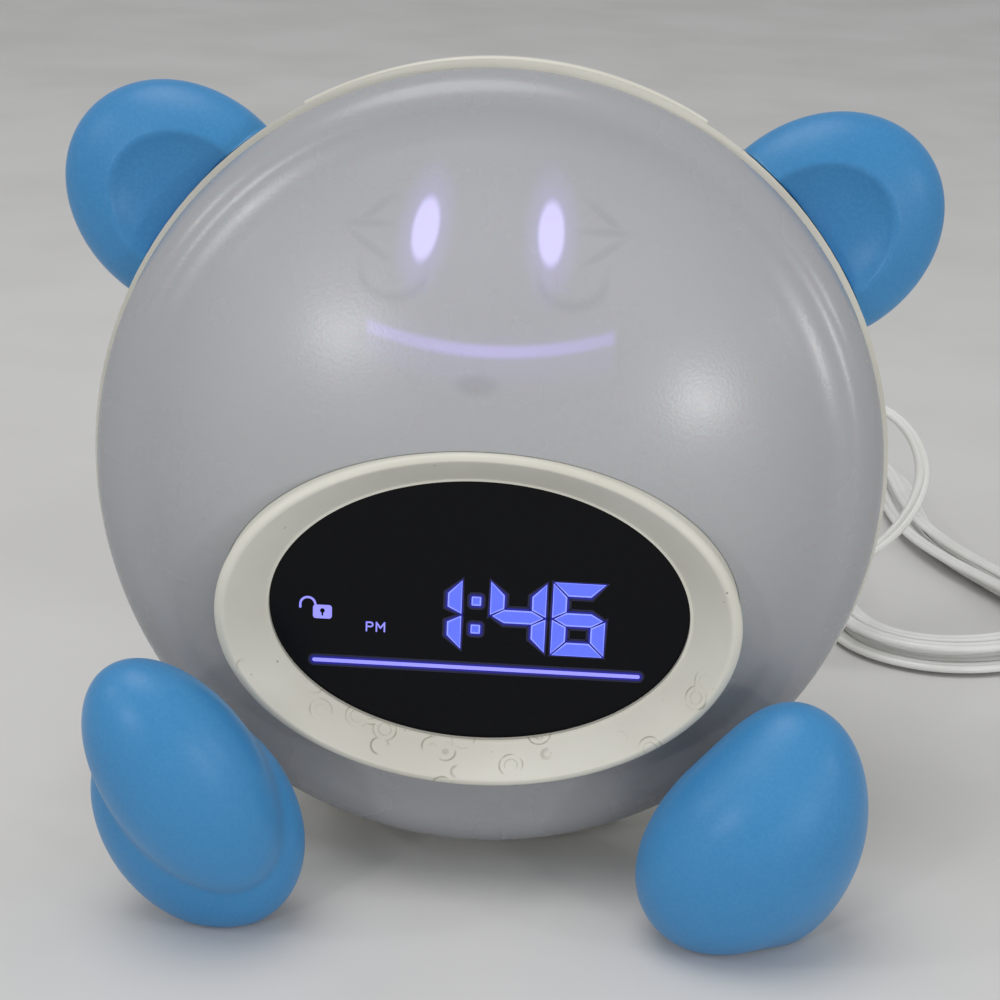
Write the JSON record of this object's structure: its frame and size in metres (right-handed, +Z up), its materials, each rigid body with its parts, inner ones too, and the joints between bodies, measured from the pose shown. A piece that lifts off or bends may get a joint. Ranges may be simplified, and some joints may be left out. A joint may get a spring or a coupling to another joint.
{
  "type": "alarm clock",
  "caption": "Round children's alarm clock and night light with a frosted lit face, an oval display, rounded ears, two swivel feet and a plug-in mains lead.",
  "frame": {"origin": "on the surface the clock stands on, under the middle of its footprint box without the lead", "axes": "+Z up, +X to the right of somebody who looks at the display, +Y to the back"},
  "size_m": [0.2466, 0.3204, 0.1661],
  "materials": {
    "frosted_plastic": "satin",
    "ivory_plastic": "satin",
    "blue_soft_touch": "matt soft-touch",
    "dark_window": "clear tinted",
    "display_glass": "polished",
    "white_plastic": "matt",
    "grey_plastic": "satin",
    "black_plastic": "matt",
    "led_white": "glossy",
    "circuit_board": "solder mask",
    "steel": "zinc plated",
    "cell_jacket": "satin",
    "pad_rubber": "matt",
    "lead_white": "smooth",
    "adapter_white": "satin"
  },
  "bodies": {
    "clock": {"adapter_blades": "steel", "adapter_body": "adapter_white", "base_pads": "pad_rubber", "base_stand": "ivory_plastic", "battery_cells": "cell_jacket", "battery_contacts": "steel", "battery_tray": "black_plastic", "board_parts": "black_plastic", "button_board_left": "circuit_board", "button_board_right": "circuit_board", "case_screws": "steel", "cord_hank": "lead_white", "cord_plug": "lead_white", "cord_tail": "lead_white", "dc_jack": "black_plastic", "display_bezel": "ivory_plastic", "display_window": "dark_window", "ear_left": "blue_soft_touch", "ear_right": "blue_soft_touch", "ear_screws": "steel", "face_board": "circuit_board", "face_leds": "led_white", "face_mask": "white_plastic", "foot_arm_left": "ivory_plastic", "foot_arm_right": "ivory_plastic", "front_diffuser": "frosted_plastic", "lcd_backlight": "white_plastic", "lcd_carrier": "white_plastic", "lcd_glass": "display_glass", "light_baffle": "white_plastic", "lock_slider_body": "black_plastic", "main_board": "circuit_board", "night_light_leds": "led_white", "power_lead": "lead_white", "rear_housing": "ivory_plastic", "reflector_plate": "white_plastic", "snooze_board": "circuit_board", "snooze_switches": "black_plastic", "speaker": "black_plastic", "speaker_clamp": "black_plastic", "tact_switches": "black_plastic"},
    "snooze_button": {"snooze_button": "ivory_plastic"},
    "lock_switch": {"lock_switch": "grey_plastic"},
    "battery_door": {"battery_door": "ivory_plastic", "door_screw": "steel"},
    "foot_left": {"foot_left": "blue_soft_touch", "foot_pin_left": "steel"},
    "foot_right": {"foot_right": "blue_soft_touch", "foot_pin_right": "steel"},
    "time_button": {"time_button": "grey_plastic"},
    "alarm_button": {"alarm_button": "grey_plastic"},
    "wake_button": {"wake_button": "grey_plastic"},
    "nap_button": {"nap_button": "grey_plastic"},
    "plus_button": {"plus_button": "grey_plastic"},
    "minus_button": {"minus_button": "grey_plastic"}
  },
  "joints": [
    {"name": "snooze_press", "type": "slide", "parent": "clock", "child": "snooze_button", "axis": [0, -0.1392, -0.9903], "range_m": [0, 0.0015], "stiffness_N_per_m": 700, "springref_m": -0.002},
    {"name": "time_press", "type": "slide", "parent": "clock", "child": "time_button", "axis": [0, -0.9903, 0.1392], "range_m": [0, 0.0008], "stiffness_N_per_m": 900, "springref_m": -0.0008},
    {"name": "alarm_press", "type": "slide", "parent": "clock", "child": "alarm_button", "axis": [0, -0.9903, 0.1392], "range_m": [0, 0.0008], "stiffness_N_per_m": 900, "springref_m": -0.0008},
    {"name": "wake_press", "type": "slide", "parent": "clock", "child": "wake_button", "axis": [0, -0.9903, 0.1392], "range_m": [0, 0.0008], "stiffness_N_per_m": 900, "springref_m": -0.0008},
    {"name": "nap_press", "type": "slide", "parent": "clock", "child": "nap_button", "axis": [0, -0.9903, 0.1392], "range_m": [0, 0.0008], "stiffness_N_per_m": 900, "springref_m": -0.0008},
    {"name": "plus_press", "type": "slide", "parent": "clock", "child": "plus_button", "axis": [0, -0.9903, 0.1392], "range_m": [0, 0.0008], "stiffness_N_per_m": 900, "springref_m": -0.0008},
    {"name": "minus_press", "type": "slide", "parent": "clock", "child": "minus_button", "axis": [0, -0.9903, 0.1392], "range_m": [0, 0.0008], "stiffness_N_per_m": 900, "springref_m": -0.0008},
    {"name": "lock_slide", "type": "slide", "parent": "clock", "child": "lock_switch", "axis": [1, 0, 0], "range_m": [0, 0.003]},
    {"name": "door_lift_off", "type": "slide", "parent": "clock", "child": "battery_door", "axis": [0, 0.9903, -0.1392], "range_m": [0, 0.012]},
    {"name": "foot_left_swivel", "type": "hinge", "parent": "clock", "child": "foot_left", "pos_m": [-0.05705, -0.02892, 0.02695], "axis": [0, 0, 1], "range_deg": [-12, 12]},
    {"name": "foot_right_swivel", "type": "hinge", "parent": "clock", "child": "foot_right", "pos_m": [0.05705, -0.02892, 0.02695], "axis": [0, 0, 1], "range_deg": [-12, 12]}
  ]
}
